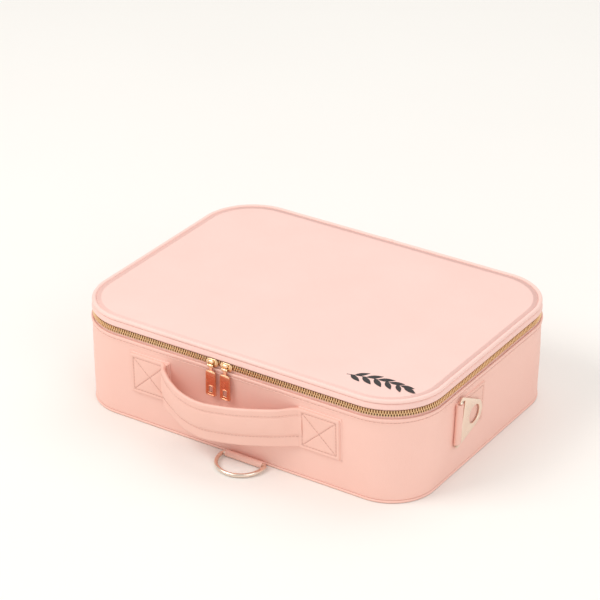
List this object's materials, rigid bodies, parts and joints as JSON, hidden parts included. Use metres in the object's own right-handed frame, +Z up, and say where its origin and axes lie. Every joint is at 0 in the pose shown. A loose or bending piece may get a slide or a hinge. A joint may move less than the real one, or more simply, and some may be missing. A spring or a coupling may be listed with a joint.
{
  "type": "makeup train case",
  "caption": "Soft-sided zip-round train case for make-up, with a padded lid, front strap handle, zip sliders, a D-ring and folding strap plates, and padded dividers and a brush holder inside.",
  "frame": {"origin": "centre of the underside, on the surface the case stands on", "axes": "+X to the right along the front, +Y to the back where the lid is hinged, +Z up"},
  "size_m": [0.4102, 0.3368, 0.1126],
  "materials": {
    "cover_leather": "soft matte coated leathercloth",
    "piping": "satin piping",
    "board": "stiffening board",
    "foam": "thin padding",
    "lining": "woven lining",
    "elastic": "ribbed elastic",
    "clear_film": "clear film",
    "zip_tape": "woven tape",
    "zip_metal": "polished pale gold",
    "pull_metal": "polished rose gold",
    "ring_metal": "pale gold plate",
    "plate_metal": "champagne plate"
  },
  "bodies": {
    "case": {"base_board": "board", "base_cover": "cover_leather", "base_lining": "lining", "base_welt": "cover_leather", "d_ring_tab": "cover_leather", "divider_back_left": "lining", "divider_back_right": "lining", "divider_front_left": "lining", "divider_front_right": "lining", "divider_long": "lining", "handle_backing_left": "cover_leather", "handle_backing_right": "cover_leather", "handle_patch_left": "cover_leather", "handle_patch_right": "cover_leather", "handle_ramp_left": "cover_leather", "handle_ramp_right": "cover_leather", "hinge_gusset_lower": "cover_leather", "strap_tab_left": "cover_leather", "strap_tab_right": "cover_leather", "wall_board": "board", "wall_cover": "cover_leather", "wall_lining": "lining", "zip_stops_lower": "zip_metal", "zip_tape_lower": "zip_tape", "zip_teeth_lower": "zip_metal"},
    "lid": {"lid_band_cover": "cover_leather", "lid_rim_board": "board", "lid_board": "board", "lid_foam": "foam", "lid_top_cover": "cover_leather", "lid_piping": "piping", "lid_lining": "lining", "brush_panel": "lining", "brush_elastic": "elastic", "brush_flap": "clear_film", "zip_teeth_upper": "zip_metal", "zip_tape_upper": "zip_tape", "zip_stops_upper": "zip_metal", "hinge_gusset_upper": "cover_leather"},
    "slider_left": {"slider_left": "zip_metal"},
    "slider_right": {"slider_right": "zip_metal"},
    "pull_left": {"pull_left": "pull_metal"},
    "pull_right": {"pull_right": "pull_metal"},
    "handle": {"handle_grip": "cover_leather", "handle_grip_lining": "cover_leather"},
    "d_ring": {"d_ring": "ring_metal"},
    "plate_left": {"strap_plate_left": "plate_metal"},
    "plate_right": {"strap_plate_right": "plate_metal"}
  },
  "joints": [
    {"name": "lid_hinge", "type": "hinge", "parent": "case", "child": "lid", "pos_m": [0, 0.1503, 0.0983], "axis": [-1, 0, 0], "range_deg": [0, 110]},
    {"name": "slider_left_run", "type": "slide", "parent": "case", "child": "slider_left", "axis": [-1, 0, 0], "range_m": [0, 0.04]},
    {"name": "slider_right_run", "type": "slide", "parent": "case", "child": "slider_right", "axis": [1, 0, 0], "range_m": [0, 0.05]},
    {"name": "pull_left_flip", "type": "hinge", "parent": "slider_left", "child": "pull_left", "pos_m": [-0.0235, -0.1523, 0.096], "axis": [-1, 0, 0], "range_deg": [0, 150]},
    {"name": "pull_right_flip", "type": "hinge", "parent": "slider_right", "child": "pull_right", "pos_m": [-0.007, -0.1523, 0.096], "axis": [-1, 0, 0], "range_deg": [0, 150]},
    {"name": "handle_swing", "type": "hinge", "parent": "case", "child": "handle", "pos_m": [0, -0.14745, 0.058], "axis": [-1, 0, 0], "range_deg": [-25, 28]},
    {"name": "d_ring_swing", "type": "hinge", "parent": "case", "child": "d_ring", "pos_m": [0.0145, -0.15212, 0.00358], "axis": [-1, 0, 0], "range_deg": [0, 55]},
    {"name": "plate_right_swing", "type": "hinge", "parent": "case", "child": "plate_right", "pos_m": [0.20089, -0.063, 0.05937], "axis": [-0.0386, -0.1045, -0.9938], "range_deg": [0, 165]},
    {"name": "plate_left_swing", "type": "hinge", "parent": "case", "child": "plate_left", "pos_m": [-0.20089, -0.063, 0.05937], "axis": [-0.0386, 0.1045, 0.9938], "range_deg": [0, 165]}
  ]
}
